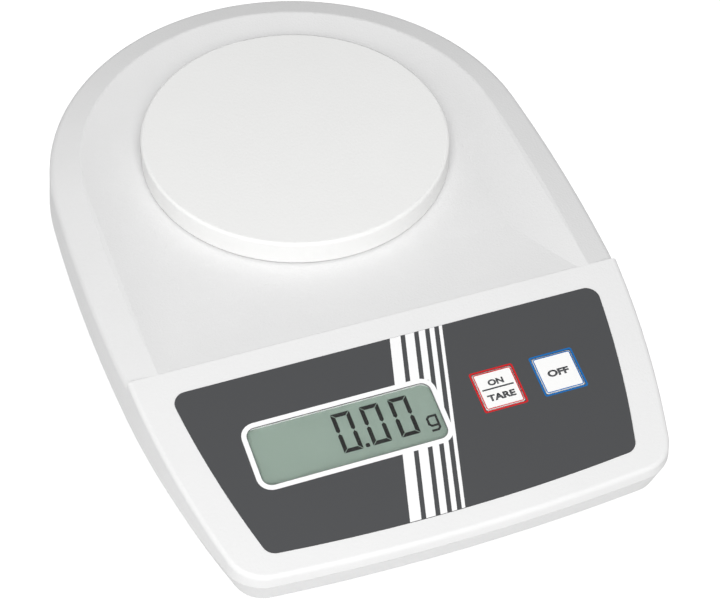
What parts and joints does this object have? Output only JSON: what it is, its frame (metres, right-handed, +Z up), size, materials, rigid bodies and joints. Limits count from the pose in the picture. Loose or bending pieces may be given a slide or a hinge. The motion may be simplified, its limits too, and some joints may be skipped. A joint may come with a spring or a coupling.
{
  "type": "compact scale",
  "caption": "Compact battery bench scale with a round lift-off weighing plate, a sloping display panel and two square push keys.",
  "frame": {"origin": "centre of the bounding box's bottom face, level with the undersides of the feet", "axes": "+Z up, the display panel faces -Y, X = 0 is the housing's plane of symmetry"},
  "size_m": [0.1718, 0.244, 0.039],
  "materials": {
    "shell_plastic": "fine matte texture",
    "plate_plastic": "satin, nearly white",
    "carrier_plastic": "moulded, natural",
    "cell_aluminium": "milled",
    "steel_parts": "plain",
    "fasteners": "zinc plated",
    "gauge_sealant": "soft white sealant",
    "foil": "dark grey printed foil, fine grain",
    "window_pane": "clear, glossy",
    "display_glass": "grey-green reflective display",
    "contact_rubber": "striped contact rubber",
    "circuit_board": "green solder mask",
    "electronics": "black moulded",
    "connector_plastic": "natural white",
    "key_caps": "light grey, printed",
    "plungers": "black moulded",
    "battery_case": "plain sleeve",
    "cover_plastic": "fine matte texture",
    "feet_rubber": "matte black",
    "lead_jacket": "plain jacket"
  },
  "bodies": {
    "housing": {"top_housing": "shell_plastic", "base_housing": "shell_plastic", "lcd_frame": "carrier_plastic", "load_cell": "cell_aluminium", "cell_mount_plate": "steel_parts", "cell_screws": "fasteners", "housing_screws": "fasteners", "board_screws": "fasteners", "overload_stop": "fasteners", "gauge_covers": "gauge_sealant", "panel_overlay": "foil", "display_window": "window_pane", "lcd_glass": "display_glass", "contact_strips": "contact_rubber", "main_board": "circuit_board", "controller_chip": "electronics", "converter_chip": "electronics", "switch_on_tare": "electronics", "switch_off": "electronics", "battery_clip": "electronics", "dc_jack": "electronics", "cell_connector": "connector_plastic", "power_connector": "connector_plastic", "battery": "battery_case", "foot_front_left": "feet_rubber", "foot_front_right": "feet_rubber", "foot_rear_left": "feet_rubber", "foot_rear_right": "feet_rubber", "cell_lead": "lead_jacket", "battery_lead": "lead_jacket", "jack_lead": "lead_jacket"},
    "platform": {"plate_carrier": "carrier_plastic", "carrier_spacer": "steel_parts", "carrier_screws": "fasteners"},
    "plate": {"weighing_plate": "plate_plastic"},
    "on_tare": {"key_on_tare": "key_caps", "plunger_on_tare": "plungers"},
    "off": {"key_off": "key_caps", "plunger_off": "plungers"},
    "cover": {"battery_cover": "cover_plastic"}
  },
  "joints": [
    {"name": "weighing", "type": "slide", "parent": "housing", "child": "platform", "axis": [0, 0, 1], "range_m": [-0.00035, 0], "stiffness_N_per_m": 40000, "springref_m": 0.0001, "deforming": ["load_cell"]},
    {"name": "plate_lift", "type": "slide", "parent": "platform", "child": "plate", "axis": [0, 0, 1], "range_m": [0, 0.02]},
    {"name": "press_on_tare", "type": "slide", "parent": "housing", "child": "on_tare", "axis": [0, -0.1657, 0.9862], "range_m": [-0.00035, 0], "stiffness_N_per_m": 3000, "springref_m": 0.0003},
    {"name": "press_off", "type": "slide", "parent": "housing", "child": "off", "axis": [0, -0.1657, 0.9862], "range_m": [-0.00035, 0], "stiffness_N_per_m": 3000, "springref_m": 0.0003},
    {"name": "cover_hinge", "type": "hinge", "parent": "housing", "child": "cover", "pos_m": [-0.05, -0.0434, 0.0048], "axis": [1, 0, 0], "range_deg": [-100, 0]}
  ]
}
